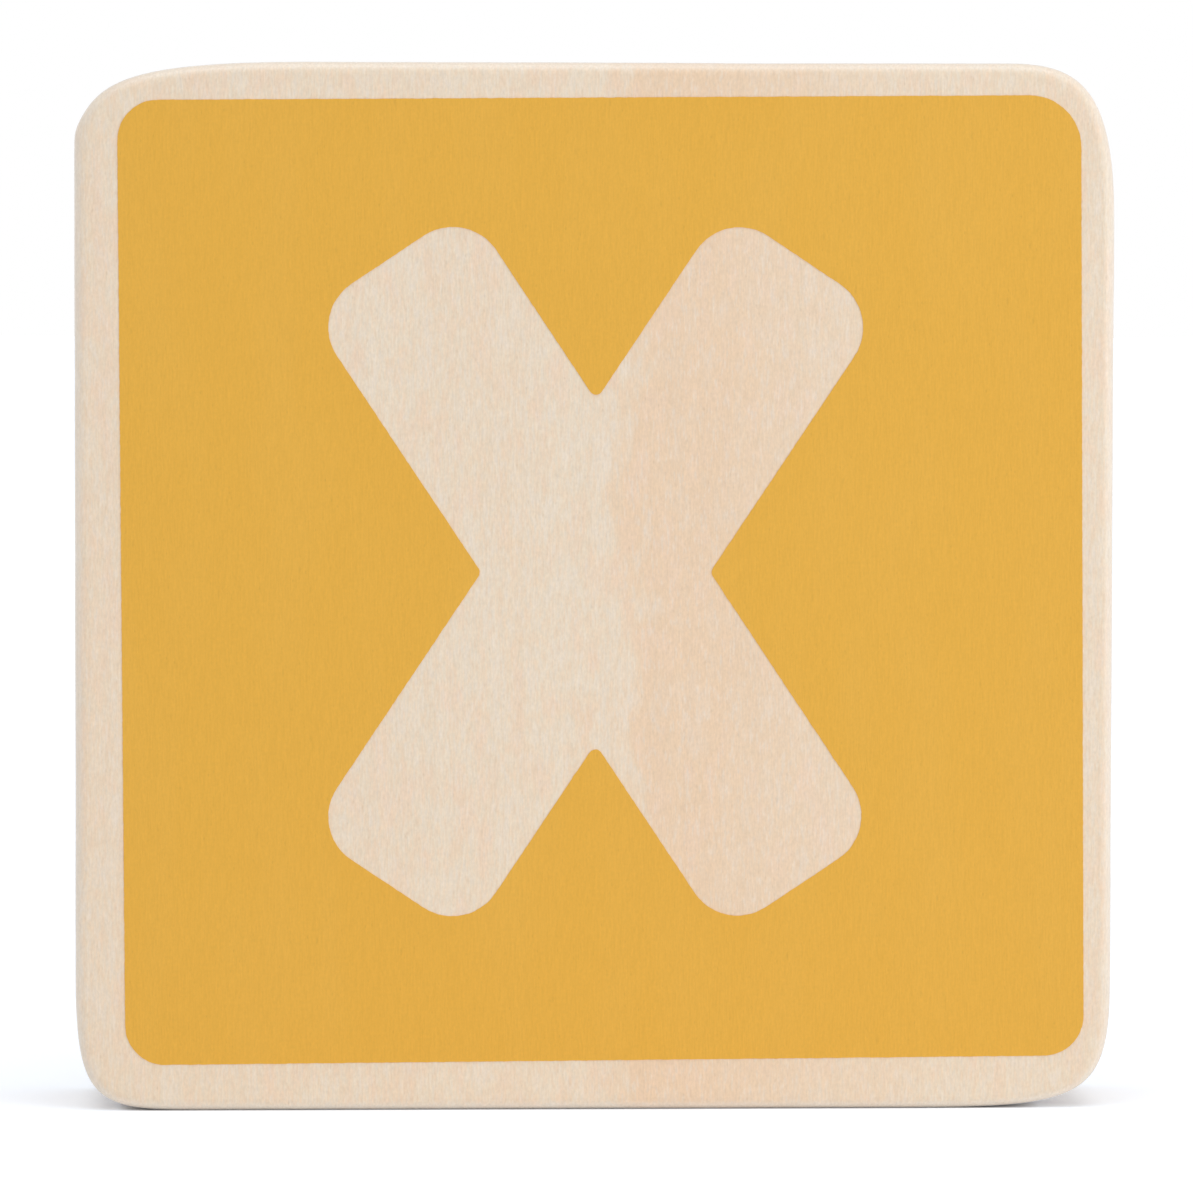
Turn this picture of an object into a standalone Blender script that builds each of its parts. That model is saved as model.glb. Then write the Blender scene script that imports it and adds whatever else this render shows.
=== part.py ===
"""A square letter tile of birch plywood, standing on its lower edge with its front towards -Y.

Nine veneers with crossed grain are glued into one board. The outline has four unlike corners, each eased by
hand, and the outer arrises are rounded over. A thin coat of colour covers most of the front.
The origin is on the lower edge, at the middle of the width and of the depth.
"""
import math
from collections import namedtuple

import bmesh
import bpy

# Sizes in metres.
TILE_WIDTH = 0.0600
TILE_HEIGHT = 0.0605

# The board, from the front to the back: a face ply, the inner plies and a second face ply.
FACE_PLY = 0.00105
INNER_PLY = 0.0013
INNER_PLY_COUNT = 7
GLUE_LINE = 0.0001
ARRIS_RADIUS = 0.0007

# How far each corner's easing runs along the upper or lower edge, and along the side.
TOP_LEFT_ACROSS = 0.0132
TOP_LEFT_DOWN = 0.00405
TOP_RIGHT_ACROSS = 0.0061
TOP_RIGHT_DOWN = 0.0090
BOTTOM_LEFT_ACROSS = 0.0072
BOTTOM_LEFT_UP = 0.0075
BOTTOM_RIGHT_ACROSS = 0.0127
BOTTOM_RIGHT_UP = 0.0073

# How far each run is pulled out towards the square corner, as a share of the run.
ELLIPSE_PULL = 0.5523
TOP_LEFT_ACROSS_PULL = 0.82
TOP_LEFT_DOWN_PULL = 0.72
TOP_RIGHT_ACROSS_PULL = 0.66
TOP_RIGHT_DOWN_PULL = 0.86
BOTTOM_LEFT_ACROSS_PULL = 0.82
BOTTOM_LEFT_UP_PULL = 0.98
BOTTOM_RIGHT_ACROSS_PULL = 0.87
BOTTOM_RIGHT_UP_PULL = 0.98

# The upper left corner was sanded past the others, which left a break where it meets the side.
TOP_LEFT_BREAK = math.radians(23.0)

# The coat of colour on the front: bare wood left around it, and its slight misplacement.
PRINT_FILM = 0.00008
PRINT_GAP = 0.00004
PRINT_SIDE_BORDER = 0.00225
PRINT_END_BORDER = 0.00245
PRINT_CORNER = 0.0023
PRINT_UPPER_RIGHT_CORNER = 0.0030
PRINT_SHIFT_RIGHT = 0.00043
PRINT_SHIFT_UP = 0.00043
PRINT_TURN = math.radians(0.43)

# Facets along each eased corner and across each rounded arris.
CORNER_STEPS = 16
ARRIS_STEPS = 4

# An arris is rounded over no more than this share of its ply.
ARRIS_LIMIT = 0.8
WELD_DISTANCE = 0.000001

# Colours are linear.
FACE_COLOUR = (0.807, 0.658, 0.509)
LONG_COLOUR = (0.740, 0.580, 0.420)
CROSS_COLOUR = (0.600, 0.430, 0.280)
PRINT_COLOUR = (0.768, 0.429, 0.072)
WOOD_ROUGHNESS = 0.65
PRINT_ROUGHNESS = 0.55

BOARD_DEPTH = 2 * FACE_PLY + INNER_PLY_COUNT * INNER_PLY + (INNER_PLY_COUNT + 1) * GLUE_LINE
WHOLE_DEPTH = PRINT_FILM + PRINT_GAP + BOARD_DEPTH

# A corner of an outline: its square corner, the runs of its easing, their pulls, and its break at the side.
Corner = namedtuple("Corner", "x z across along across_pull along_pull side_break")


def clear_scene():
    """Remove whatever the scene holds."""
    for thing in list(bpy.data.objects):
        bpy.data.objects.remove(thing, do_unlink=True)


def collection_for(name):
    """A new collection in the scene."""
    collection = bpy.data.collections.new(name)
    bpy.context.scene.collection.children.link(collection)
    return collection


def plain_material(name, colour, roughness):
    """A matte material of one colour."""
    material = bpy.data.materials.new(name)
    material.use_nodes = True
    shader = material.node_tree.nodes["Principled BSDF"]
    shader.inputs["Base Color"].default_value = (*colour, 1.0)
    shader.inputs["Roughness"].default_value = roughness
    shader.inputs["Metallic"].default_value = 0.0
    return material


def tile_corners():
    """The board's corners, in order round its outline from the lower left, with z from the lower edge."""
    left = -TILE_WIDTH / 2
    right = TILE_WIDTH / 2
    return [
        Corner(
            left, 0.0, BOTTOM_LEFT_ACROSS, BOTTOM_LEFT_UP,
            BOTTOM_LEFT_ACROSS_PULL, BOTTOM_LEFT_UP_PULL, 0.0,
        ),
        Corner(
            right, 0.0, BOTTOM_RIGHT_ACROSS, BOTTOM_RIGHT_UP,
            BOTTOM_RIGHT_ACROSS_PULL, BOTTOM_RIGHT_UP_PULL, 0.0,
        ),
        Corner(
            right, TILE_HEIGHT, TOP_RIGHT_ACROSS, TOP_RIGHT_DOWN,
            TOP_RIGHT_ACROSS_PULL, TOP_RIGHT_DOWN_PULL, 0.0,
        ),
        Corner(
            left, TILE_HEIGHT, TOP_LEFT_ACROSS, TOP_LEFT_DOWN,
            TOP_LEFT_ACROSS_PULL, TOP_LEFT_DOWN_PULL, TOP_LEFT_BREAK,
        ),
    ]


def print_corners():
    """The coat's corners, in the same order, about its own middle."""
    half_width = TILE_WIDTH / 2 - PRINT_SIDE_BORDER
    half_height = TILE_HEIGHT / 2 - PRINT_END_BORDER
    places = [
        (-1, -1, PRINT_CORNER),
        (1, -1, PRINT_CORNER),
        (1, 1, PRINT_UPPER_RIGHT_CORNER),
        (-1, 1, PRINT_CORNER),
    ]
    return [
        Corner(side * half_width, end * half_height, radius, radius, ELLIPSE_PULL, ELLIPSE_PULL, 0.0)
        for side, end, radius in places
    ]


def eased_ends(corner, middle):
    """The two ends of a corner's easing, on the side and on the edge, each with its handle."""
    inward_x = math.copysign(1.0, middle[0] - corner.x)
    inward_z = math.copysign(1.0, middle[1] - corner.z)
    on_side = (corner.x, corner.z + inward_z * corner.along)
    side_reach = corner.along * corner.along_pull
    side_handle = (
        on_side[0] + inward_x * side_reach * math.sin(corner.side_break),
        on_side[1] - inward_z * side_reach * math.cos(corner.side_break),
    )
    on_edge = (corner.x + inward_x * corner.across, corner.z)
    edge_handle = (on_edge[0] - inward_x * corner.across * corner.across_pull, corner.z)
    return (on_side, side_handle), (on_edge, edge_handle)


def add_outline(curve, corners):
    """A closed spline of straight edges and eased corners, two points to a corner."""
    middle = (
        sum(corner.x for corner in corners) / len(corners),
        sum(corner.z for corner in corners) / len(corners),
    )
    spline = curve.splines.new("BEZIER")
    spline.bezier_points.add(2 * len(corners) - 1)
    spline.use_cyclic_u = True
    for index, corner in enumerate(corners):
        side_end, edge_end = eased_ends(corner, middle)
        # The outline comes along a side into every second corner, and along an edge into the others.
        first, second = (side_end, edge_end) if index % 2 == 0 else (edge_end, side_end)
        arriving = spline.bezier_points[2 * index]
        arriving.co = (*first[0], 0.0)
        arriving.handle_left_type = "VECTOR"
        arriving.handle_right_type = "FREE"
        arriving.handle_right = (*first[1], 0.0)
        leaving = spline.bezier_points[2 * index + 1]
        leaving.co = (*second[0], 0.0)
        leaving.handle_left_type = "FREE"
        leaving.handle_left = (*second[1], 0.0)
        leaving.handle_right_type = "VECTOR"


def sheet(name, corners, thickness, middle_y, material, collection, parent):
    """A flat sheet cut to an outline, standing upright with its middle at middle_y."""
    curve = bpy.data.curves.new(name, "CURVE")
    curve.dimensions = "2D"
    curve.fill_mode = "BOTH"
    curve.extrude = thickness / 2
    curve.resolution_u = CORNER_STEPS
    add_outline(curve, corners)
    curve.materials.append(material)
    thing = bpy.data.objects.new(name, curve)
    thing.rotation_euler = (math.pi / 2, 0.0, 0.0)
    thing.location = (0.0, middle_y, 0.0)
    thing.parent = parent
    collection.objects.link(thing)
    return thing


def within_a_flat_face(edge):
    """Whether an edge only divides one of a sheet's two flat faces."""
    return all(abs(face.normal.z) > face.normal.xy.length for face in edge.link_faces)


def as_mesh(thing, collection):
    """The same sheet as a welded mesh, each of its flat faces in one piece."""
    bpy.context.view_layer.update()
    evaluated = thing.evaluated_get(bpy.context.evaluated_depsgraph_get())
    mesh = bpy.data.meshes.new_from_object(evaluated)
    sheet_mesh = bmesh.new()
    sheet_mesh.from_mesh(mesh)
    bmesh.ops.remove_doubles(sheet_mesh, verts=sheet_mesh.verts, dist=WELD_DISTANCE)
    dividing = [edge for edge in sheet_mesh.edges if within_a_flat_face(edge)]
    bmesh.ops.dissolve_edges(sheet_mesh, edges=dividing, use_verts=False)
    sheet_mesh.to_mesh(mesh)
    sheet_mesh.free()
    name, place, parent = thing.name, thing.matrix_world.copy(), thing.parent
    bpy.data.objects.remove(thing, do_unlink=True)
    solid = bpy.data.objects.new(name, mesh)
    collection.objects.link(solid)
    solid.parent = parent
    solid.matrix_world = place
    return solid


def round_arris(solid, outer_side):
    """Round over the arris round one flat face, at the local height outer_side."""
    mesh = solid.data
    marked = bmesh.new()
    marked.from_mesh(mesh)
    weight = marked.edges.layers.float.new("bevel_weight_edge")
    for edge in marked.edges:
        if all(abs(vertex.co.z - outer_side) < WELD_DISTANCE for vertex in edge.verts):
            edge[weight] = 1.0
    marked.to_mesh(mesh)
    marked.free()
    arris = solid.modifiers.new("arris", "BEVEL")
    arris.limit_method = "WEIGHT"
    arris.width = min(ARRIS_RADIUS, FACE_PLY * ARRIS_LIMIT)
    arris.segments = ARRIS_STEPS
    arris.use_clamp_overlap = False
    mesh.shade_smooth()
    mesh.set_sharp_from_angle(angle=math.radians(30.0))


def face_ply(name, front_y, outer_side, material, collection, parent):
    """A face veneer with the arris of its outer face rounded over."""
    middle_y = front_y + FACE_PLY / 2
    flat = sheet(name, tile_corners(), FACE_PLY, middle_y, material, collection, parent)
    round_arris(as_mesh(flat, collection), outer_side * FACE_PLY / 2)


def inner_plies(front_y, long_material, cross_material, collection, parent):
    """The inner veneers, behind each other, with the grain of every other one turned."""
    for index in range(INNER_PLY_COUNT):
        crossed = index % 2 == 0
        name = f"{'cross' if crossed else 'long'}_ply_{index // 2 + 1}"
        material = cross_material if crossed else long_material
        middle_y = front_y + index * (INNER_PLY + GLUE_LINE) + INNER_PLY / 2
        sheet(name, tile_corners(), INNER_PLY, middle_y, material, collection, parent)


def front_print(front_y, material, collection, parent):
    """The coat of colour, a little out of square with the board, as it was printed."""
    middle_y = front_y + PRINT_FILM / 2
    coat = sheet("front_print", print_corners(), PRINT_FILM, middle_y, material, collection, parent)
    coat.rotation_euler = (math.pi / 2, -PRINT_TURN, 0.0)
    coat.location.x = PRINT_SHIFT_RIGHT
    coat.location.z = TILE_HEIGHT / 2 + PRINT_SHIFT_UP


def build():
    """Lay up the board from the front to the back."""
    clear_scene()
    collection = collection_for("letter_tile")
    tile = bpy.data.objects.new("letter_tile", None)
    collection.objects.link(tile)

    face_birch = plain_material("birch face veneer", FACE_COLOUR, WOOD_ROUGHNESS)
    long_birch = plain_material("birch core veneer, long grain", LONG_COLOUR, WOOD_ROUGHNESS)
    cross_birch = plain_material("birch core veneer, cross grain", CROSS_COLOUR, WOOD_ROUGHNESS)
    yellow_coat = plain_material("yellow printed coat", PRINT_COLOUR, PRINT_ROUGHNESS)

    print_front = -WHOLE_DEPTH / 2
    board_front = print_front + PRINT_FILM + PRINT_GAP
    board_back = board_front + BOARD_DEPTH

    front_print(print_front, yellow_coat, collection, tile)
    face_ply("front_face_ply", board_front, 1, face_birch, collection, tile)
    inner_plies(board_front + FACE_PLY + GLUE_LINE, long_birch, cross_birch, collection, tile)
    face_ply("back_face_ply", board_back - FACE_PLY, -1, face_birch, collection, tile)


build()
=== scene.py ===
"""The looks of a square letter tile: nine birch veneers, their glue lines and the coat printed on the front.

Every piece starts from the solids of the frame. Geometry Nodes lay up the veneers, the glue lines and the
printed coat from the outlines that those solids have, and each finish is a material made of nodes. The letter
that is left open in the coat is a plain X with sizes of its own.
"""
import math

import bpy
from bpy.props import FloatProperty, FloatVectorProperty, IntProperty, PointerProperty
from mathutils import Matrix, Vector


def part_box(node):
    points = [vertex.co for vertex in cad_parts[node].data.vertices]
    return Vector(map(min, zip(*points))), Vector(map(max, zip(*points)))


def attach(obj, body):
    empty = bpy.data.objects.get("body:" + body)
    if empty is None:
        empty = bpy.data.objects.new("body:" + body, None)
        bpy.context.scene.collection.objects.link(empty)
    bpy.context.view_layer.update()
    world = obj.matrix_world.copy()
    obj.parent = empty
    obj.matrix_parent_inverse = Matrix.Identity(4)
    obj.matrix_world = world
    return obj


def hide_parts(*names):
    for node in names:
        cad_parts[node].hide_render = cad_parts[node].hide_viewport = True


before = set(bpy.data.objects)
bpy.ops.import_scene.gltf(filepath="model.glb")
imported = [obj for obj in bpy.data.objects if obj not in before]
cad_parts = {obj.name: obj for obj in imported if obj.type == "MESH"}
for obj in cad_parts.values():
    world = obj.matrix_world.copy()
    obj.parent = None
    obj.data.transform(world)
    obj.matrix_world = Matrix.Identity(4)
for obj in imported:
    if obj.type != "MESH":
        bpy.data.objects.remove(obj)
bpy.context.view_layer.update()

bl_info = {
    "name": "Letter tile",
    "version": (1, 0, 0),
    "blender": (4, 5, 0),
    "location": "3D View > Sidebar > Letter tile",
    "description": "Dresses a plywood letter tile and sets it on a studio floor",
    "category": "Object",
}

BODY = "root"
MILLIMETRE = 0.001
WHITE = (1.0, 1.0, 1.0, 1.0)

# Points this near to each other count as one, and so do outline points that are alike to these decimals of a
# metre.
WELD_DISTANCE = 1e-6
OUTLINE_DECIMALS = 7

# The board's outline is that of its middle ply, whose edge is square all round.
BOARD_OUTLINE_NODE = "long_ply_2"
FRONT_NODE = "front_face_ply"
BACK_NODE = "back_face_ply"
PRINT_NODE = "front_print"
CORE_NODES = sorted(
    (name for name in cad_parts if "_ply_" in name and "face" not in name),
    key=lambda name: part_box(name)[0].y,
)
FRONT_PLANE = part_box(FRONT_NODE)[0].y
TILE_LOW, TILE_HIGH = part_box(BOARD_OUTLINE_NODE)
TILE_CENTRE = Vector((0.0, FRONT_PLANE, (TILE_LOW.z + TILE_HIGH.z) / 2))
FLAT_FRONT = [
    vertex.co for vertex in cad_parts[FRONT_NODE].data.vertices
    if vertex.co.y < FRONT_PLANE + WELD_DISTANCE
]
ARRIS_RADIUS = TILE_HIGH.x - max(corner.x for corner in FLAT_FRONT)

# The camera's film in millimetres and how near and how far it sees in metres, the corners of the round floor,
# and the rays that feel for the tile at each point of it for the floor's painted contact shadow.
SENSOR_WIDTH = 36.0
CLIP_RANGE = (0.01, 100.0)
FLOOR_CORNERS = 64
CONTACT_SHADE_SAMPLES = 4

# The tile's axes.
ACROSS, DEEP, UPRIGHT = range(3)

# The part of a noise texture's range that most of its values lie in, and the middle of its colours.
NOISE = "ShaderNodeTexNoise"
FIGURE_RANGE = (0.25, 0.75)
NOISE_MIDDLE = (0.5, 0.5, 0.5)

# Sizes of the figure in wood and coat, in millimetres across and along the grain. Pores are their spans and
# their size.
BAND_SPANS = (6.0, 60.0)
LINE_SPANS = (0.5, 16.0)
PATCH_SPANS = (0.9, 2.4)
MEANDER_SPANS = (5.0, 11.0)
FLECK_SPANS = (0.14, 0.60)
CLOUD_SPANS = (4.0, 16.0)
CORE_STREAK_SPANS = (0.35, 9.0)
CORE_FIBRE_SPANS = (0.10, 1.6)
CORE_PORES = ((0.22, 3.0), 0.42)

# What the coat shares with the face veneer under it. Fibres and specks are drawn coarser than in real birch,
# so that they show.
FIBRE_SPANS = (0.11, 0.85)
SPECK_SPANS = (0.13, 0.20)
OPEN_PORES = ((1.1, 3.2), 0.12)
FINE_PITS = ((0.42, 0.95), 0.17)

# The glue's patches and beads, which have no grain.
GLUE_PATCH_SPANS = (1.2, 1.2)
GLUE_BEADS = ((0.4, 0.4), 0.4)

# How far the warm streak's edge wanders and is ruffled, and how wide it is, in metres, and between which of
# its widths the streak fades.
STREAK_WANDER = 0.0022
STREAK_RUFFLE = 0.0014
STREAK_EDGE = 0.003
STREAK_FADE = (0.5, 1.5)

# How much of a stain a figure brings: where on the figure it starts and ends, and its share at either place.
BAND_SHARES = (0.45, 0.75, 0.0, 0.30)
FLUSHED_SHARES = (0.46, 0.70, 0.0, 0.60)
PALED_SHARES = (0.30, 0.50, 0.30, 0.0)
WARMED_SHARES = (0.45, 0.72, 0.0, 0.45)
BLEACHED_SHARES = (0.28, 0.45, 0.40, 0.0)
THIN_SHARES = (0.45, 0.75, 0.0, 0.22)

# The share of a stain in full pores, on full end grain and along the arrises, where the pale stain is partly
# a painted highlight, and that of the gloss there.
PORE_SHARE = 0.18
CORE_PORE_SHARE = 0.45
END_GRAIN_SHARE = 0.40
RUBBED_AND_HIGHLIGHT_SHARE = 0.40
BURNISHED_SHARE = 0.60

# How squarely a surface lies across an axis where end grain or the flat of a face starts, and where that is
# full.
END_GRAIN_FROM = 0.95
CORE_END_GRAIN_FROM = 0.80
RUBBED_AND_HIGHLIGHT_FLAT_FROM = 0.80
BURNISHED_FLAT_FROM = 0.2
FULLY_SQUARE = 0.99

# What a figure makes of a colour, at its low and at its high end: darker under 1 and lighter over it.
LINE_TONES = (0.982, 1.020)
FIBRE_TONES = (0.955, 1.035)
SPECK_TONES = (0.955, 1.045)
CORE_STREAK_TONES = (0.84, 1.10)
CORE_FIBRE_TONES = (0.91, 1.07)
GLUE_TONES = (0.72, 1.22)
COAT_FIBRE_TONES = (0.968, 1.025)
COAT_SPECK_TONES = (0.968, 1.032)
COAT_PORE_TONES = (1.005, 0.937)

# The least and the greatest roughness of each finish, the strength of its relief and the relief's depth in
# millimetres, what a pore adds to the height of the fibres, and the gloss of the face veneers.
FACE_ROUGHNESS, FACE_RELIEF = (0.38, 0.50), (0.30, 0.04)
CORE_ROUGHNESS, CORE_RELIEF = (0.66, 0.78), (0.45, 0.06)
GLUE_ROUGHNESS, GLUE_RELIEF = (0.38, 0.50), (0.30, 0.03)
COAT_ROUGHNESS, COAT_RELIEF = (0.52, 0.62), (0.22, 0.04)
PORE_SINK = -0.6
FACE_GLOSS = {"Sheen Weight": 1.0, "Sheen Roughness": 0.3, "Coat Roughness": 0.2}

# Sizes that every tree of the board takes, how often its outline is smoothed, and the points in a rounded
# turn of the letter.
OUTLINE_SIZES = ["Step", "Waviness", "Waviness span", "Steady height"]
SMOOTHINGS = 3
TURN_POINTS = 12

# An edge that turns by more than the first angle is an arris, one that turns by more than the second is
# shaded sharp, and a face whose normal lies this squarely along the depth is flat.
ARRIS_ANGLE = 1.0
SHARP_ANGLE = math.radians(40.0)
FLAT_NORMAL = 0.9999


def linear_from_hex(code):
    """Linear red, green and blue from an sRGB hex value such as E8D4BE."""
    shares = [int(code[index:index + 2], 16) / 255 for index in (0, 2, 4)]
    return tuple(
        share / 12.92 if share <= 0.04045 else ((share + 0.055) / 1.055) ** 2.4 for share in shares
    )


def colour(label, code, description):
    """A colour setting with an sRGB hex value as its default."""
    return FloatVectorProperty(
        name=label, description=description, subtype="COLOR", size=3, min=0.0, max=1.0,
        default=linear_from_hex(code),
    )


def length(label, millimetres, description):
    """A size setting, given in millimetres and kept in metres."""
    return FloatProperty(
        name=label, description=description, unit="LENGTH", subtype="DISTANCE", precision=6,
        default=millimetres * MILLIMETRE,
    )


def place(label, millimetres, description):
    """A place on the tile's front, across and up from its middle, in millimetres."""
    return FloatVectorProperty(
        name=label, description=description, unit="LENGTH", subtype="XYZ", size=2, precision=6,
        default=[value * MILLIMETRE for value in millimetres],
    )


class BoardSettings(bpy.types.PropertyGroup):
    """Sizes and colours of the veneers and of the glue between them."""

    outline_step: length("Outline step", 0.25, "Distance between points along the sanded outline")
    arris_radius: length("Arris radius", ARRIS_RADIUS / MILLIMETRE, "Rounding of the outer arrises")
    arris_steps: IntProperty(name="Arris steps", description="Facets across an arris", default=8, min=1)
    waviness: length("Waviness", 0.09, "How far the hand-sanded edges wander")
    waviness_span: length("Waviness span", 11.0, "Distance over which the edges wander")
    glue_recess: length("Glue recess", 0.02, "How far the glue lies behind the sanded edge")
    glue_clearance: length("Glue clearance", 0.004, "Room between the glue and the veneers beside it")
    cream: colour("Cream", "EBDAC2", "Main colour of the face veneer")
    blush: colour("Blush", "EBCEAE", "Warmer streak in the face veneer")
    rose: colour("Rose", "EFD3BA", "Small flushed patches in the face veneer")
    pale: colour("Pale", "ECDED0", "Small pale patches in the face veneer")
    front_streak: length("Front streak", 0.1, "Where the front veneer's warm streak starts, from the middle")
    back_streak: length("Back streak", -19.0, "Where the back veneer's warm streak starts, from the middle")
    streak_width: length("Streak width", 13.0, "Width of the warm streak")
    pore: colour("Pores", "B9966F", "Short open pores in the face veneer")
    # The rubbed colour is partly fibres rubbed up by sanding and partly a painted highlight along the
    # arrises.
    rubbed: colour("Rubbed", "F6EDE1", "Fibres rubbed up along the sanded arrises")
    long_edge: colour("Long-grain edge", "E3C9A7", "Cut edge that runs along the grain")
    end_edge: colour("End-grain edge", "BF966B", "Cut edge that runs across the grain")
    glue: colour("Glue", "6B4A30", "Hardened glue")


class PrintSettings(bpy.types.PropertyGroup):
    """Sizes and colours of the coat printed on the front, and the letter left open in it."""

    coat: length("Coat", 0.035, "How far the coat stands proud of the veneer")
    bite: length("Bite", 0.01, "How far the coat soaks into the veneer")
    edge_step: length("Edge step", 0.12, "Distance between points along the coat's edges")
    ragged: length("Raggedness", 0.07, "How far the coat's edges wander")
    ragged_span: length("Raggedness span", 0.35, "Distance over which the coat's edges wander")
    yellow: colour("Yellow", "E4AC39", "Main colour of the coat")
    thin_yellow: colour("Thin yellow", "E7B34A", "Where the coat lies thin over the grain")
    letter_width: length("Letter width", 24.0, "Across the letter, between the middles of its strokes' ends")
    letter_height: length("Letter height", 36.0, "Up the letter, between the middles of its strokes' ends")
    letter_rise: length("Letter rise", 0.9, "How far the letter sits above the tile's middle")
    stroke: length("Stroke", 11.0, "Width of the letter's strokes")
    tip_radius: length("Tip radius", 3.0, "Rounding at the corners of the strokes' ends")
    crotch_radius: length("Crotch radius", 0.4, "Rounding where the strokes meet")


class StageSettings(bpy.types.PropertyGroup):
    """The camera, the lamps and the floor."""

    camera_distance: length("Camera distance", 450.0, "From the tile's front to the camera")
    camera_turn: FloatProperty(
        name="Camera turn", description="How far the camera stands to the right", subtype="ANGLE",
        default=math.radians(-2.52),
    )
    camera_rise: FloatProperty(
        name="Camera rise", description="How far the camera stands above the tile's middle", subtype="ANGLE",
        default=math.radians(2.87),
    )
    camera_roll: FloatProperty(
        name="Camera roll", description="Tilt of the picture", subtype="ANGLE", default=math.radians(0.105),
    )
    aim: place("Aim", (0.05, -0.50), "What the camera points at, from the middle of the front")
    frame_width: length("Frame width", 68.82, "Width of the picture at the tile's front")
    floor_radius: length("Floor radius", 2500.0, "Half the width of the floor")
    floor: colour("Floor", "E7E8EA", "Colour of the floor")
    seen_floor: colour("Seen floor", "FAFCFF", "Colour of the floor where it is seen")
    glow_colour: colour("Glow colour", "DDECFF", "Colour of the light from beneath the floor")
    floor_glow: FloatProperty(
        name="Floor glow", description="Light from beneath the floor", default=0.20, min=0.0,
    )
    floor_lift: FloatProperty(
        name="Floor lift", description="White added to the floor where it is seen", default=0.10, min=0.0,
    )
    # How far from the tile the floor's painted contact shadow reaches.
    contact_shade_reach: length("Contact reach", 0.4, "How far from the tile the light from beneath is cut off")
    sky: FloatProperty(name="Sky", description="Even light from all round", default=0.535, min=0.0)
    ceiling: FloatProperty(name="Ceiling", description="Light from overhead", default=1.1, min=0.0)
    ceiling_spread: FloatProperty(
        name="Ceiling spread", description="How wide the light from overhead is", subtype="ANGLE",
        default=math.radians(55.0),
    )
    ceiling_lean: FloatProperty(
        name="Ceiling lean", description="How far the overhead light comes from the front", subtype="ANGLE",
        default=math.radians(15.0),
    )
    key: FloatProperty(
        name="Key", description="Power of the key lamp", subtype="POWER", default=0.36, min=0.0,
    )
    key_size: length("Key size", 140.0, "Width of the key lamp")
    key_place: FloatVectorProperty(
        name="Key place", description="Where the key lamp hangs", subtype="XYZ", unit="LENGTH", size=3,
        default=(0.305, -0.265, 0.080),
    )


def add_node(tree, kind, inputs=(), output=0, **settings):
    """Add a node, set it up, set or link its inputs in order or by name, and give one of its outputs."""
    node = tree.nodes.new(kind)
    for name, value in settings.items():
        setattr(node, name, value)
    for socket, value in inputs.items() if isinstance(inputs, dict) else enumerate(inputs):
        for item in value if isinstance(value, list) else [value]:
            if isinstance(item, bpy.types.NodeSocket):
                tree.links.new(item, node.inputs[socket])
            else:
                node.inputs[socket].default_value = item
    return node.outputs[output] if node.outputs else node


def new_material(name):
    """An empty material with its tree, its shader and its coordinates."""
    material = bpy.data.materials.new(name)
    material.use_nodes = True
    tree = material.node_tree
    coordinates = add_node(tree, "ShaderNodeTexCoord").node
    return material, tree, tree.nodes["Principled BSDF"], coordinates


def opaque(rgb):
    """A colour with full alpha."""
    return (*rgb, 1.0)


def grain_figure(tree, coordinates, spans, grain=UPRIGHT, kind=NOISE, **inputs):
    """A texture drawn out by its spans across and along the grain's axis, in millimetres."""
    across, along = spans
    lengths = (along if axis == grain else across for axis in (ACROSS, DEEP, UPRIGHT))
    scale = tuple(1.0 / (length_mm * MILLIMETRE) for length_mm in lengths)
    counted = add_node(
        tree, "ShaderNodeVectorMath", (coordinates.outputs["Object"], scale), operation="MULTIPLY",
    )
    return add_node(tree, kind, {"Vector": counted, "Scale": 1.0, **inputs})


def pore_marks(tree, coordinates, *sorts, grain=UPRIGHT):
    """Short marks scattered along the grain, 1 in the middle of each. A sort is its spans and its size."""
    marks = 0.0
    for spans, size in sorts:
        distance = grain_figure(tree, coordinates, spans, grain, "ShaderNodeTexVoronoi")
        mark = add_node(tree, "ShaderNodeMapRange", (distance, 0.0, size, 1.0, 0.0))
        marks = add_node(tree, "ShaderNodeMath", (marks, mark), operation="MAXIMUM")
    return marks


def squareness(tree, coordinates, axis, first):
    """How squarely a surface lies across an axis: 0 up to the first squareness and 1 where it is full."""
    slope = add_node(tree, "ShaderNodeSeparateXYZ", (coordinates.outputs["Normal"],), output=axis)
    square = add_node(tree, "ShaderNodeMath", (slope,), operation="ABSOLUTE")
    return add_node(tree, "ShaderNodeMapRange", (square, first, FULLY_SQUARE, 0.0, 1.0))


def stained(tree, ground, stains):
    """A ground colour with stains laid over it one by one, each by its own share."""
    for share, stain in stains:
        ground = add_node(
            tree, "ShaderNodeMix", {0: share, 6: ground, 7: opaque(stain)}, output=2, data_type="RGBA",
        )
    return ground


def toned(tree, ground, tones):
    """A ground colour made darker or lighter by figures, each with the tones of its low and its high end."""
    for figure, low, high in tones:
        tone = add_node(tree, "ShaderNodeMapRange", (figure, *FIGURE_RANGE, low, high))
        ground = add_node(tree, "ShaderNodeVectorMath", {0: ground, "Scale": tone}, operation="SCALE")
    return ground


def dress_shader(tree, shader, tint, rough, relief, strength, depth):
    """Link the colour, the roughness and the relief of a surface.

    Roughness is a figure with its least and its greatest roughness, and relief is the pores and the fibres.
    """
    figure, smoothest, roughest = rough
    roughness = add_node(tree, "ShaderNodeMapRange", (figure, *FIGURE_RANGE, roughest, smoothest))
    hollows, fibres = relief
    height = add_node(tree, "ShaderNodeMath", (hollows, PORE_SINK, fibres), operation="MULTIPLY_ADD")
    bump = add_node(
        tree, "ShaderNodeBump", {"Strength": strength, "Distance": depth * MILLIMETRE, "Height": height},
    )
    for name, source in (("Base Color", tint), ("Roughness", roughness), ("Normal", bump)):
        tree.links.new(source, shader.inputs[name])


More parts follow.
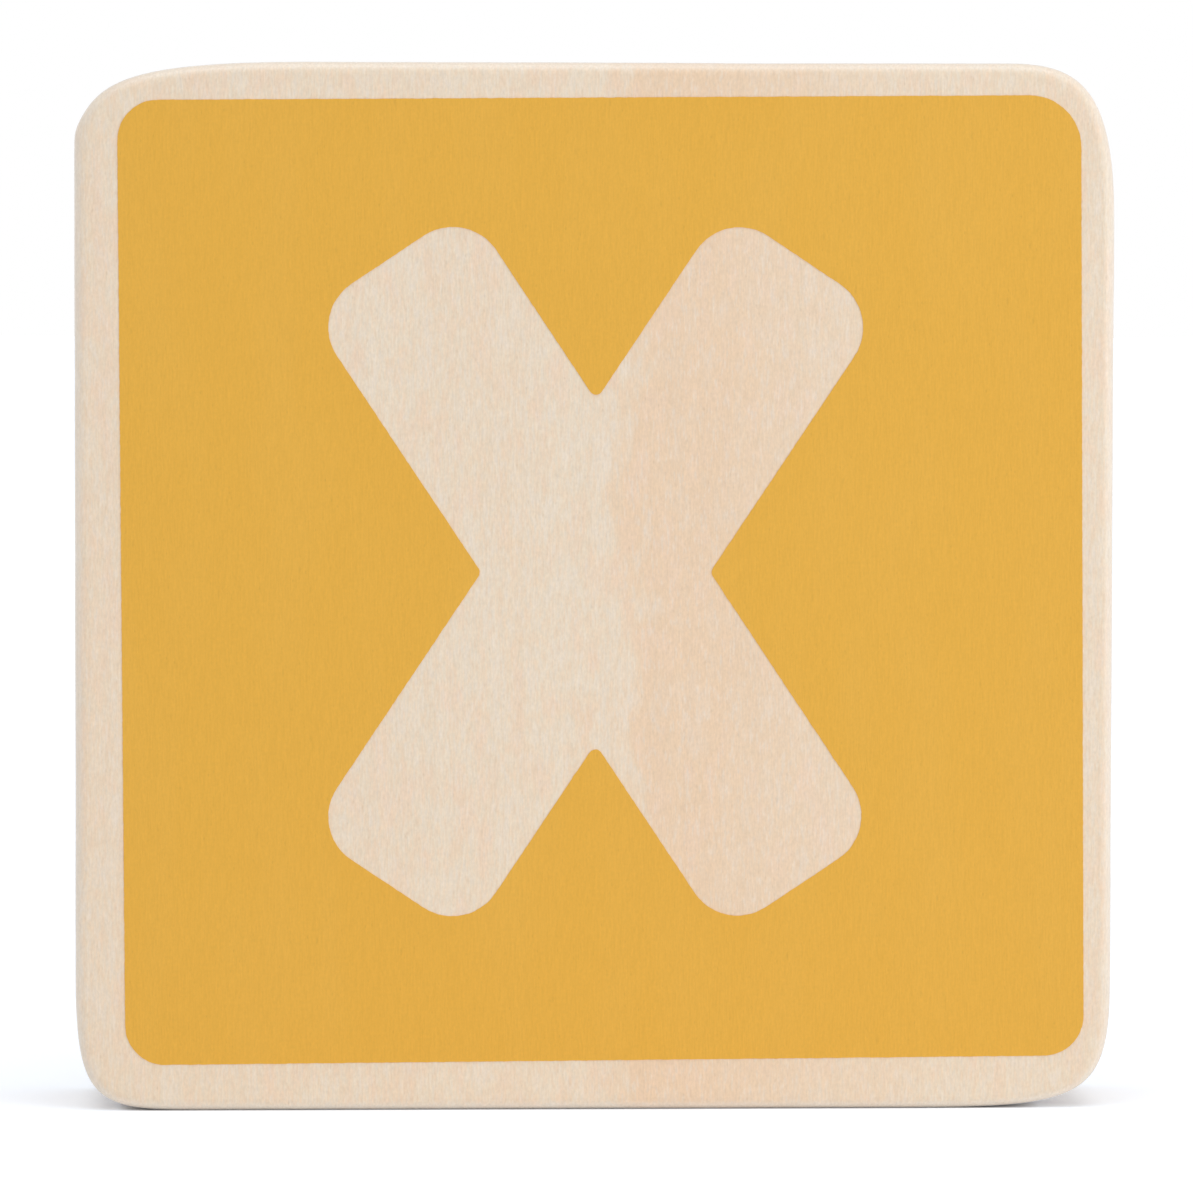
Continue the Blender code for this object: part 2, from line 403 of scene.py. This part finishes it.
def sanded_birch_face(board, name, streak_start):
    """Rotary-cut sanded birch: warm streak, flushed patches, flecks, arrises paled by fibres and painted
    highlight.
    """
    material, tree, shader, coordinates = new_material(name)
    bands = grain_figure(tree, coordinates, BAND_SPANS, Detail=2.0)
    lines = grain_figure(tree, coordinates, LINE_SPANS, Detail=3.0, Roughness=0.6)
    patches = grain_figure(tree, coordinates, PATCH_SPANS, Detail=2.0)
    fibres = grain_figure(tree, coordinates, FIBRE_SPANS, Detail=1.0, Roughness=0.6)
    specks = grain_figure(tree, coordinates, SPECK_SPANS, Detail=1.0)
    flecks = grain_figure(tree, coordinates, FLECK_SPANS, Detail=1.0)
    pores = pore_marks(tree, coordinates, OPEN_PORES, FINE_PITS)

    # The warm streak starts sharply on its left and fades to its right.
    across = add_node(tree, "ShaderNodeSeparateXYZ", (coordinates.outputs["Object"],), output=ACROSS)
    meander = grain_figure(tree, coordinates, MEANDER_SPANS, Detail=2.0)
    wander = add_node(tree, "ShaderNodeMapRange", (meander, *FIGURE_RANGE, -STREAK_WANDER, STREAK_WANDER))
    ruffle = add_node(tree, "ShaderNodeMapRange", (patches, *FIGURE_RANGE, -STREAK_RUFFLE, STREAK_RUFFLE))
    spot = across
    for shift in (wander, ruffle):
        spot = add_node(tree, "ShaderNodeMath", (spot, shift), operation="ADD")
    fade, finish = (streak_start + widths * board.streak_width for widths in STREAK_FADE)
    begun = add_node(tree, "ShaderNodeMapRange", (spot, streak_start, streak_start + STREAK_EDGE, 0.0, 1.0))
    ended = add_node(tree, "ShaderNodeMapRange", (spot, fade, finish, 1.0, 0.0))
    streak = add_node(tree, "ShaderNodeMath", (begun, ended), operation="MULTIPLY")
    band = add_node(tree, "ShaderNodeMapRange", (bands, *BAND_SHARES))
    warm = add_node(tree, "ShaderNodeMath", (streak, band), operation="MAXIMUM")

    flushed = add_node(tree, "ShaderNodeMapRange", (patches, *FLUSHED_SHARES))
    paled = add_node(tree, "ShaderNodeMapRange", (patches, *PALED_SHARES))
    warmed = add_node(tree, "ShaderNodeMapRange", (flecks, *WARMED_SHARES))
    bleached = add_node(tree, "ShaderNodeMapRange", (flecks, *BLEACHED_SHARES))
    pored = add_node(tree, "ShaderNodeMath", (pores, PORE_SHARE), operation="MULTIPLY")
    ends = squareness(tree, coordinates, UPRIGHT, END_GRAIN_FROM)
    cut = add_node(tree, "ShaderNodeMath", (ends, END_GRAIN_SHARE), operation="MULTIPLY")
    # Arrises and cut edges turn paler: partly fibres rubbed up by sanding, partly a painted highlight along
    # the rim.
    level = squareness(tree, coordinates, DEEP, RUBBED_AND_HIGHLIGHT_FLAT_FROM)
    rubbed = add_node(tree, "ShaderNodeMath", (level, -RUBBED_AND_HIGHLIGHT_SHARE, RUBBED_AND_HIGHLIGHT_SHARE), operation="MULTIPLY_ADD")
    wood = stained(tree, opaque(board.cream), (
        (warm, board.blush), (flushed, board.rose), (paled, board.pale),
        (warmed, board.blush), (bleached, board.pale), (pored, board.pore), (cut, board.end_edge),
        (rubbed, board.rubbed),
    ))
    wood = toned(tree, wood, ((lines, *LINE_TONES), (fibres, *FIBRE_TONES), (specks, *SPECK_TONES)))
    dress_shader(tree, shader, wood, (fibres, *FACE_ROUGHNESS), (pores, fibres), *FACE_RELIEF)

    # Sanding burnishes the arris too, which then shines white along its rim.
    flat = squareness(tree, coordinates, DEEP, BURNISHED_FLAT_FROM)
    burnished = add_node(
        tree, "ShaderNodeMath", (flat, -BURNISHED_SHARE, BURNISHED_SHARE), operation="MULTIPLY_ADD",
    )
    tree.links.new(burnished, shader.inputs["Coat Weight"])
    for socket, value in FACE_GLOSS.items():
        shader.inputs[socket].default_value = value
    return material


def sawn_birch_core(board, name, grain):
    """Birch core veneer, sawn and sanded: pale streaks along the grain, darker open pores on its ends."""
    material, tree, shader, coordinates = new_material(name)
    streaks = grain_figure(tree, coordinates, CORE_STREAK_SPANS, grain, Detail=3.0, Roughness=0.6)
    fibres = grain_figure(tree, coordinates, CORE_FIBRE_SPANS, grain, Detail=2.0, Roughness=0.65)
    pores = pore_marks(tree, coordinates, CORE_PORES, grain=grain)

    ends = squareness(tree, coordinates, grain, CORE_END_GRAIN_FROM)
    pored = add_node(tree, "ShaderNodeMath", (pores, CORE_PORE_SHARE), operation="MULTIPLY")
    wood = stained(tree, opaque(board.long_edge), ((ends, board.end_edge),))
    wood = toned(tree, wood, ((streaks, *CORE_STREAK_TONES), (fibres, *CORE_FIBRE_TONES)))
    wood = stained(tree, wood, ((pored, board.glue),))
    dress_shader(tree, shader, wood, (streaks, *CORE_ROUGHNESS), (pores, fibres), *CORE_RELIEF)
    return material


def hardened_glue(board):
    """Hardened brown wood glue: a thin dark line, a little glossier than the wood beside it."""
    material, tree, shader, coordinates = new_material("hardened wood glue")
    patches = grain_figure(tree, coordinates, GLUE_PATCH_SPANS, Detail=2.0)
    beads = pore_marks(tree, coordinates, GLUE_BEADS)
    glue = toned(tree, tuple(board.glue), ((patches, *GLUE_TONES),))
    dress_shader(tree, shader, glue, (patches, *GLUE_ROUGHNESS), (beads, patches), *GLUE_RELIEF)
    return material


def screen_printed_yellow(printing):
    """Matte screen-printing colour: even and opaque, with the veneer's fibres and pores just showing."""
    material, tree, shader, coordinates = new_material("matte yellow screen-printing colour")
    clouds = grain_figure(tree, coordinates, CLOUD_SPANS, Detail=2.0)
    fibres = grain_figure(tree, coordinates, FIBRE_SPANS, Detail=1.0, Roughness=0.6)
    specks = grain_figure(tree, coordinates, SPECK_SPANS, Detail=1.0)
    pores = pore_marks(tree, coordinates, OPEN_PORES, FINE_PITS)

    thin = add_node(tree, "ShaderNodeMapRange", (clouds, *THIN_SHARES))
    coat = stained(tree, opaque(printing.yellow), ((thin, printing.thin_yellow),))
    coat = toned(
        tree, coat, ((fibres, *COAT_FIBRE_TONES), (specks, *COAT_SPECK_TONES), (pores, *COAT_PORE_TONES)),
    )
    dress_shader(tree, shader, coat, (fibres, *COAT_ROUGHNESS), (pores, fibres), *COAT_RELIEF)
    return material


def studio_floor_paint(stage):
    """Matte white light table: lights the lower edge, keeps soft and painted contact shadows, white where
    seen.
    """
    material, tree, shader, coordinates = new_material("matte white light table")
    tree.nodes.remove(coordinates)
    seen = seen_directly(tree)
    paint = stained(tree, opaque(stage.floor), ((seen, stage.seen_floor),))
    full_glow = add_node(
        tree, "ShaderNodeMath", (seen, stage.floor_lift, stage.floor_glow), operation="MULTIPLY_ADD",
    )
    # Ambient occlusion darkens the floor's glow near the tile: a painted contact shadow.
    clear = add_node(
        tree, "ShaderNodeAmbientOcclusion",
        {"Distance": stage.contact_shade_reach}, output="AO", samples=CONTACT_SHADE_SAMPLES,
    )
    glow = add_node(tree, "ShaderNodeMath", (full_glow, clear), operation="MULTIPLY")
    shader.inputs["Roughness"].default_value = 1.0
    shader.inputs["Specular IOR Level"].default_value = 0.0
    shader.inputs["Emission Color"].default_value = opaque(stage.glow_colour)
    tree.links.new(paint, shader.inputs["Base Color"])
    tree.links.new(glow, shader.inputs["Emission Strength"])
    return material


def seen_directly(tree):
    """1 for rays from the camera and for those that gloss or glass passes on to it, and 0 for light."""
    path = add_node(tree, "ShaderNodeLightPath").node
    seen = path.outputs["Is Camera Ray"]
    for ray in ("Is Glossy Ray", "Is Transmission Ray"):
        seen = add_node(tree, "ShaderNodeMath", (seen, path.outputs[ray]), operation="MAXIMUM")
    return seen


def node_outline(name):
    """The points round a flat node's outline, across and up, in order from its lower left."""
    points = {
        (round(vertex.co.x, OUTLINE_DECIMALS), round(vertex.co.z, OUTLINE_DECIMALS))
        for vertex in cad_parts[name].data.vertices
    }
    middle_x = sum(point[0] for point in points) / len(points)
    middle_z = sum(point[1] for point in points) / len(points)
    return sorted(points, key=lambda point: math.atan2(point[1] - middle_z, point[0] - middle_x))


def flat_curve(name, outlines):
    """A curve of closed outlines in its own plane. A point is across, up and the radius that rounds it."""
    curve = bpy.data.curves.new(name, "CURVE")
    curve.dimensions = "3D"
    for outline in outlines:
        spline = curve.splines.new("POLY")
        spline.points.add(len(outline) - 1)
        spline.use_cyclic_u = True
        for point, (across, up, radius) in zip(spline.points, outline):
            point.co = (across, up, 0.0, 1.0)
            point.radius = radius
    thing = bpy.data.objects.new(name, curve)
    bpy.context.scene.collection.objects.link(thing)
    return thing


def unrounded(points):
    """Outline points that are left as they are."""
    return [(across, up, 0.0) for across, up in points]


def new_tree(name, sizes, counts=()):
    """A geometry tree with an outline, sizes, counts and a material as its inputs."""
    tree = bpy.data.node_groups.new(name, "GeometryNodeTree")
    tree.interface.new_socket("Outline", in_out="INPUT", socket_type="NodeSocketGeometry")
    for size in sizes:
        tree.interface.new_socket(size, in_out="INPUT", socket_type="NodeSocketFloat")
    for count in counts:
        tree.interface.new_socket(count, in_out="INPUT", socket_type="NodeSocketInt")
    tree.interface.new_socket("Finish", in_out="INPUT", socket_type="NodeSocketMaterial")
    tree.interface.new_socket("Piece", in_out="OUTPUT", socket_type="NodeSocketGeometry")
    return tree, add_node(tree, "NodeGroupInput").node.outputs


def wandering(tree, curve, amount, span, rise=None):
    """A curve whose points wander by a fixed noise. Below the height rise they keep their places."""
    position = add_node(tree, "GeometryNodeInputPosition")
    frequency = add_node(tree, "ShaderNodeMath", (1.0, span), operation="DIVIDE")
    noise = add_node(tree, NOISE, {"Vector": position, "Scale": frequency, "Detail": 2.0}, output="Color")
    centred = add_node(tree, "ShaderNodeVectorMath", (noise, NOISE_MIDDLE), operation="SUBTRACT")
    flat = add_node(tree, "ShaderNodeVectorMath", (centred, (1.0, 1.0, 0.0)), operation="MULTIPLY")
    if rise is not None:
        height = add_node(tree, "ShaderNodeSeparateXYZ", (position,), output=1)
        share = add_node(tree, "ShaderNodeMapRange", (height, 0.0, rise, 0.0, 1.0))
        amount = add_node(tree, "ShaderNodeMath", (amount, share), operation="MULTIPLY")
    offset = add_node(tree, "ShaderNodeVectorMath", {0: flat, "Scale": amount}, operation="SCALE")
    return add_node(tree, "GeometryNodeSetPosition", {"Geometry": curve, "Offset": offset})


def thickened(tree, curve, thickness):
    """A closed sheet: the curve filled, drawn up to a thickness and closed underneath."""
    filled = add_node(tree, "GeometryNodeFillCurve", (curve,), mode="NGONS")
    upward = add_node(tree, "ShaderNodeCombineXYZ", {2: thickness})
    raised = add_node(
        tree, "GeometryNodeExtrudeMesh",
        {"Mesh": filled, "Offset": upward, "Offset Scale": 1.0, "Individual": False}, mode="FACES",
    )
    under = add_node(tree, "GeometryNodeFlipFaces", (filled,))
    both = add_node(tree, "GeometryNodeJoinGeometry", ([raised, under],))
    return add_node(tree, "GeometryNodeMergeByDistance", {"Geometry": both, "Distance": WELD_DISTANCE})


def stood_up(tree, geometry, depth):
    """A flat sheet turned upright, its underside at the given depth and its top towards the front."""
    shift = add_node(tree, "ShaderNodeCombineXYZ", {1: depth})
    return add_node(
        tree, "GeometryNodeTransform",
        {"Geometry": geometry, "Translation": shift, "Rotation": (math.pi / 2, 0.0, 0.0)},
    )


def finish_tree(tree, geometry, finish):
    """The end of every tree: real geometry with its finish."""
    real = add_node(tree, "GeometryNodeRealizeInstances", {"Geometry": geometry})
    dressed = add_node(tree, "GeometryNodeSetMaterial", {"Geometry": real, "Material": finish})
    add_node(tree, "NodeGroupOutput", {"Piece": dressed})


def sanded_outline(tree, inputs):
    """The board's outline in even steps, its facets rubbed smooth and its edges a little wavy."""
    even = add_node(
        tree, "GeometryNodeResampleCurve",
        {"Curve": inputs["Outline"], "Length": inputs["Step"]}, mode="LENGTH",
    )
    position = add_node(tree, "GeometryNodeInputPosition")
    rubbed = add_node(
        tree, "GeometryNodeBlurAttribute",
        {"Value": position, "Iterations": SMOOTHINGS}, data_type="FLOAT_VECTOR",
    )
    smooth = add_node(tree, "GeometryNodeSetPosition", {"Geometry": even, "Position": rubbed})
    return wandering(tree, smooth, inputs["Waviness"], inputs["Waviness span"], inputs["Steady height"])


def veneer_tree():
    """One veneer. The sign of Arris side marks its arris towards the front or the back for rounding."""
    tree, inputs = new_tree("veneer", [*OUTLINE_SIZES, "Thickness", "Back", "Arris side"])
    sheet = thickened(tree, sanded_outline(tree, inputs), inputs["Thickness"])
    angle = add_node(tree, "GeometryNodeInputMeshEdgeAngle")
    arris = add_node(tree, "ShaderNodeMath", (angle, ARRIS_ANGLE), operation="GREATER_THAN")
    position = add_node(tree, "GeometryNodeInputPosition")
    height = add_node(tree, "ShaderNodeSeparateXYZ", (position,), output=2)
    half = add_node(tree, "ShaderNodeMath", (inputs["Thickness"], 0.5), operation="MULTIPLY")
    from_middle = add_node(tree, "ShaderNodeMath", (height, half), operation="SUBTRACT")
    sided = add_node(tree, "ShaderNodeMath", (from_middle, inputs["Arris side"]), operation="MULTIPLY")
    outer = add_node(tree, "ShaderNodeMath", (sided, 0.0), operation="GREATER_THAN")
    weight = add_node(tree, "ShaderNodeMath", (arris, outer), operation="MULTIPLY")
    marked = add_node(
        tree, "GeometryNodeStoreNamedAttribute",
        {"Geometry": sheet, "Name": "bevel_weight_edge", "Value": weight}, data_type="FLOAT", domain="EDGE",
    )
    finish_tree(tree, stood_up(tree, marked, inputs["Back"]), inputs["Finish"])
    return tree


def glue_tree():
    """The glue lines: one thin sheet repeated at an even pitch through the board."""
    sizes = [*OUTLINE_SIZES, "Thickness", "Back", "Pitch", "Inset scale", "Middle height"]
    tree, inputs = new_tree("glue_lines", sizes, ["Count"])
    sheet = thickened(tree, sanded_outline(tree, inputs), inputs["Thickness"])
    low = add_node(tree, "ShaderNodeMath", (inputs["Middle height"], -1.0), operation="MULTIPLY")
    down = add_node(tree, "ShaderNodeCombineXYZ", {1: low})
    centred = add_node(tree, "GeometryNodeTransform", {"Geometry": sheet, "Translation": down})
    scale = add_node(tree, "ShaderNodeCombineXYZ", (inputs["Inset scale"], inputs["Inset scale"], 1.0))
    up = add_node(tree, "ShaderNodeCombineXYZ", {1: inputs["Middle height"]})
    inset = add_node(tree, "GeometryNodeTransform", {"Geometry": centred, "Translation": up, "Scale": scale})
    pitch = add_node(tree, "ShaderNodeCombineXYZ", {2: inputs["Pitch"]})
    line = add_node(tree, "GeometryNodeMeshLine", {"Count": inputs["Count"], "Offset": pitch})
    copies = add_node(tree, "GeometryNodeInstanceOnPoints", {"Points": line, "Instance": inset})
    finish_tree(tree, stood_up(tree, copies, inputs["Back"]), inputs["Finish"])
    return tree


def coat_tree():
    """The printed coat: its outline and the letter open in it, both with the ragged edge of thin colour."""
    tree, inputs = new_tree("printed_coat", ["Step", "Raggedness", "Ragged span", "Thickness", "Back"])
    radius = add_node(tree, "GeometryNodeInputRadius")
    rounded = add_node(
        tree, "GeometryNodeFilletCurve",
        {"Curve": inputs["Outline"], "Count": TURN_POINTS, "Radius": radius}, mode="POLY",
    )
    even = add_node(
        tree, "GeometryNodeResampleCurve", {"Curve": rounded, "Length": inputs["Step"]}, mode="LENGTH",
    )
    ragged = wandering(tree, even, inputs["Raggedness"], inputs["Ragged span"])
    sheet = thickened(tree, ragged, inputs["Thickness"])
    finish_tree(tree, stood_up(tree, sheet, inputs["Back"]), inputs["Finish"])
    return tree


def evaluated_mesh(thing, name):
    """An object's mesh as its modifiers leave it. The object itself is removed."""
    bpy.context.view_layer.update()
    depsgraph = bpy.context.evaluated_depsgraph_get()
    mesh = bpy.data.meshes.new_from_object(thing.evaluated_get(depsgraph))
    mesh.name = name
    bpy.data.objects.remove(thing, do_unlink=True)
    if not mesh.polygons:
        raise RuntimeError(f"{name} came out empty")
    return mesh


def grown_mesh(curve, tree, values, name):
    """The mesh that a tree grows from a curve with the given inputs."""
    modifier = curve.modifiers.new(tree.name, "NODES")
    modifier.node_group = tree
    for socket in tree.interface.items_tree:
        if socket.in_out == "INPUT" and socket.name in values:
            modifier[socket.identifier] = values[socket.name]
    return evaluated_mesh(curve, name)


def rounded_mesh(mesh, radius, steps, name):
    """A mesh with its marked arrises rounded over."""
    solid = bpy.data.objects.new(name, mesh)
    bpy.context.scene.collection.objects.link(solid)
    bevel = solid.modifiers.new("arris", "BEVEL")
    bevel.limit_method = "WEIGHT"
    bevel.width = radius
    bevel.segments = steps
    bevel.use_clamp_overlap = False
    return evaluated_mesh(solid, name)


def shade_sheet(mesh):
    """Shade a sheet's two flat faces flat and its edge smooth, with a sharp line where they meet squarely."""
    mesh.shade_smooth()
    mesh.set_sharp_from_angle(angle=SHARP_ANGLE)
    smooth = [abs(face.normal.y) < FLAT_NORMAL for face in mesh.polygons]
    mesh.polygons.foreach_set("use_smooth", smooth)
    mesh.update()


def add_piece(name, mesh, slot, *nodes):
    """A finished piece that rides on the body and stands for its nodes."""
    shade_sheet(mesh)
    piece = bpy.data.objects.new(name, mesh)
    bpy.context.scene.collection.objects.link(piece)
    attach(piece, BODY)
    if nodes:
        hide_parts(*nodes)
    return piece


def outline_values(board):
    """The inputs that every layer of the board shares, so that their edges stay in line."""
    return {
        "Step": board.outline_step,
        "Waviness": board.waviness,
        "Waviness span": board.waviness_span,
        "Steady height": board.waviness_span,
    }


def board_curve(name):
    """The board's outline as a curve."""
    return flat_curve(name, [unrounded(node_outline(BOARD_OUTLINE_NODE))])


class LETTERTILE_OT_lay_veneers(bpy.types.Operator):
    """Lay up the nine veneers, with the arrises of the outer two rounded over"""

    bl_idname = "letter_tile.lay_veneers"
    bl_label = "Lay up veneers"

    def execute(self, context):
        board = context.scene.letter_tile_board
        tree = veneer_tree()
        front = sanded_birch_face(board, "sanded birch front veneer", board.front_streak)
        back = sanded_birch_face(board, "sanded birch back veneer", board.back_streak)
        long_core = sawn_birch_core(board, "sawn birch core veneer, upright grain", UPRIGHT)
        cross_core = sawn_birch_core(board, "sawn birch core veneer, level grain", ACROSS)
        layers = [(FRONT_NODE, front, "face_veneer", 1.0)]
        for node in CORE_NODES:
            crossed = node.startswith("cross")
            finish = cross_core if crossed else long_core
            layers.append((node, finish, "cross_veneer" if crossed else "long_veneer", 0.0))
        layers.append((BACK_NODE, back, "face_veneer", -1.0))
        for node, finish, slot, side in layers:
            low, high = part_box(node)
            name = f"{node}_veneer"
            values = {
                **outline_values(board),
                "Thickness": high.y - low.y,
                "Back": high.y,
                "Arris side": side,
                "Finish": finish,
            }
            mesh = grown_mesh(board_curve(name), tree, values, name)
            if side:
                mesh = rounded_mesh(mesh, board.arris_radius, board.arris_steps, name)
            add_piece(name, mesh, slot, node)
        return {"FINISHED"}


class LETTERTILE_OT_spread_glue(bpy.types.Operator):
    """Fill the gaps between the veneers with glue"""

    bl_idname = "letter_tile.spread_glue"
    bl_label = "Spread glue"

    def execute(self, context):
        board = context.scene.letter_tile_board
        layers = [FRONT_NODE, *CORE_NODES, BACK_NODE]
        gaps = [(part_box(first)[1].y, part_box(second)[0].y) for first, second in zip(layers, layers[1:])]
        width = TILE_HIGH.x - TILE_LOW.x
        values = {
            **outline_values(board),
            "Thickness": gaps[-1][1] - gaps[-1][0] - 2 * board.glue_clearance,
            "Back": gaps[-1][1] - board.glue_clearance,
            "Pitch": gaps[1][0] - gaps[0][0],
            "Count": len(gaps),
            "Inset scale": 1.0 - 2 * board.glue_recess / width,
            "Middle height": TILE_CENTRE.z,
            "Finish": hardened_glue(board),
        }
        mesh = grown_mesh(board_curve("glue_lines"), glue_tree(), values, "glue_lines")
        add_piece("glue_lines", mesh, "cross_veneer")
        return {"FINISHED"}


def letter_outline(printing):
    """A plain X: two straight strokes of one width that cross in the middle. Each turn has its rounding."""
    arm = Vector((printing.letter_width, printing.letter_height)) / 2
    along = arm.normalized()
    half_stroke = printing.stroke / 2
    aside = Vector((along.y, -along.x)) * half_stroke
    outer, inner = arm + aside, arm - aside
    left_outer, left_inner = (Vector((-corner.x, corner.y)) for corner in (outer, inner))
    top_crotch = Vector((0.0, half_stroke / along.x))
    left_crotch = Vector((-half_stroke / along.y, 0.0))
    tip, crotch = printing.tip_radius, printing.crotch_radius
    upper_half = [
        (outer, tip), (inner, tip), (top_crotch, crotch),
        (left_inner, tip), (left_outer, tip), (left_crotch, crotch),
    ]
    lower_half = [(-point, radius) for point, radius in upper_half]
    middle = Vector((0.0, TILE_CENTRE.z + printing.letter_rise))
    return [(*(middle + point), radius) for point, radius in upper_half + lower_half]


class LETTERTILE_OT_print_front(bpy.types.Operator):
    """Print the colour on the front, with the letter left open so that the bare veneer shows"""

    bl_idname = "letter_tile.print_front"
    bl_label = "Print front"

    def execute(self, context):
        printing = context.scene.letter_tile_print
        values = {
            "Step": printing.edge_step,
            "Raggedness": printing.ragged,
            "Ragged span": printing.ragged_span,
            "Thickness": printing.coat + printing.bite,
            "Back": FRONT_PLANE + printing.bite,
            "Finish": screen_printed_yellow(printing),
        }
        curve = flat_curve("printed_coat", [unrounded(node_outline(PRINT_NODE)), letter_outline(printing)])
        mesh = grown_mesh(curve, coat_tree(), values, "printed_coat")
        add_piece("printed_coat", mesh, "printed_coat", PRINT_NODE)
        return {"FINISHED"}


def add_floor(stage):
    """A wide round floor under the tile."""
    floor_mesh = bpy.data.meshes.new("studio_floor")
    turns = [2 * math.pi * index / FLOOR_CORNERS for index in range(FLOOR_CORNERS)]
    points = [
        (stage.floor_radius * math.cos(turn), stage.floor_radius * math.sin(turn), 0.0) for turn in turns
    ]
    floor_mesh.from_pydata(points, [], [range(FLOOR_CORNERS)])
    floor_mesh.materials.append(studio_floor_paint(stage))
    floor = bpy.data.objects.new("studio_floor", floor_mesh)
    bpy.context.scene.collection.objects.link(floor)


def add_sky(stage):
    """Even light from all round, white where the camera sees it."""
    world = bpy.data.worlds.new("studio")
    world.use_nodes = True
    tree = world.node_tree
    tree.nodes.clear()
    light = add_node(tree, "ShaderNodeBackground", (WHITE, stage.sky))
    backdrop = add_node(tree, "ShaderNodeBackground", (WHITE, 1.0))
    either = add_node(tree, "ShaderNodeMixShader", (seen_directly(tree), light, backdrop))
    add_node(tree, "ShaderNodeOutputWorld", {"Surface": either})
    bpy.context.scene.world = world


def add_lamps(stage):
    """Wide light from overhead and a soft lamp close by on the right."""
    ceiling = bpy.data.lights.new("ceiling", "SUN")
    ceiling.energy = stage.ceiling
    ceiling.angle = stage.ceiling_spread
    overhead = bpy.data.objects.new("ceiling", ceiling)
    overhead.rotation_euler = (stage.ceiling_lean, 0.0, 0.0)
    bpy.context.scene.collection.objects.link(overhead)
    key = bpy.data.lights.new("key_lamp", "AREA")
    key.shape = "SQUARE"
    key.size = stage.key_size
    key.energy = stage.key
    lamp = bpy.data.objects.new("key_lamp", key)
    lamp.location = stage.key_place
    lamp.rotation_euler = (TILE_CENTRE - lamp.location).to_track_quat("-Z", "Y").to_euler()
    lamp.visible_camera = False
    bpy.context.scene.collection.objects.link(lamp)


def add_camera(stage):
    """A long lens in front of the tile, a little to the left of its middle and above it."""
    camera = bpy.data.cameras.new("camera")
    camera.sensor_width = SENSOR_WIDTH
    camera.lens = SENSOR_WIDTH * stage.camera_distance / stage.frame_width
    camera.clip_start, camera.clip_end = CLIP_RANGE
    level = math.cos(stage.camera_rise)
    back = Vector((
        math.sin(stage.camera_turn) * level,
        -math.cos(stage.camera_turn) * level,
        math.sin(stage.camera_rise),
    ))
    thing = bpy.data.objects.new("camera", camera)
    location = TILE_CENTRE + back * stage.camera_distance
    aim = TILE_CENTRE + Vector((stage.aim[0], 0.0, stage.aim[1]))
    turn = (aim - location).to_track_quat("-Z", "Y").to_matrix() @ Matrix.Rotation(stage.camera_roll, 3, "Z")
    thing.location = location
    thing.rotation_euler = turn.to_euler()
    bpy.context.scene.collection.objects.link(thing)
    bpy.context.scene.camera = thing


class LETTERTILE_OT_set_stage(bpy.types.Operator):
    """Put the tile on a white studio floor, with its lamps and the camera"""

    bl_idname = "letter_tile.set_stage"
    bl_label = "Set stage"

    def execute(self, context):
        stage = context.scene.letter_tile_stage
        add_floor(stage)
        add_sky(stage)
        add_lamps(stage)
        add_camera(stage)
        context.scene.view_settings.view_transform = "Standard"
        return {"FINISHED"}


class LETTERTILE_PT_panel(bpy.types.Panel):
    """The tile's settings and the steps that make it"""

    bl_idname = "LETTERTILE_PT_panel"
    bl_label = "Letter tile"
    bl_space_type = "VIEW_3D"
    bl_region_type = "UI"
    bl_category = "Letter tile"

    def draw(self, context):
        layout = self.layout
        for group, steps in PANEL_ROWS:
            settings = getattr(context.scene, group)
            box = layout.box()
            for name in settings.bl_rna.properties.keys():
                if name not in {"rna_type", "name"}:
                    box.prop(settings, name)
            for step in steps:
                box.operator(step.bl_idname)


SETTINGS = {
    "letter_tile_board": BoardSettings,
    "letter_tile_print": PrintSettings,
    "letter_tile_stage": StageSettings,
}
PANEL_ROWS = [
    ("letter_tile_board", [LETTERTILE_OT_lay_veneers, LETTERTILE_OT_spread_glue]),
    ("letter_tile_print", [LETTERTILE_OT_print_front]),
    ("letter_tile_stage", [LETTERTILE_OT_set_stage]),
]
CLASSES = [
    *SETTINGS.values(),
    *(step for group, steps in PANEL_ROWS for step in steps),
    LETTERTILE_PT_panel,
]


def register():
    """Register the classes and hang the settings on the scene."""
    for each in CLASSES:
        bpy.utils.register_class(each)
    for name, group in SETTINGS.items():
        setattr(bpy.types.Scene, name, PointerProperty(type=group))


def unregister():
    """Take the settings off the scene and unregister the classes."""
    for name in SETTINGS:
        delattr(bpy.types.Scene, name)
    for each in reversed(CLASSES):
        bpy.utils.unregister_class(each)


def main():
    """Make the tile and its stage."""
    register()
    bpy.ops.letter_tile.lay_veneers()
    bpy.ops.letter_tile.spread_glue()
    bpy.ops.letter_tile.print_front()
    bpy.ops.letter_tile.set_stage()


if __name__ == "__main__":
    main()
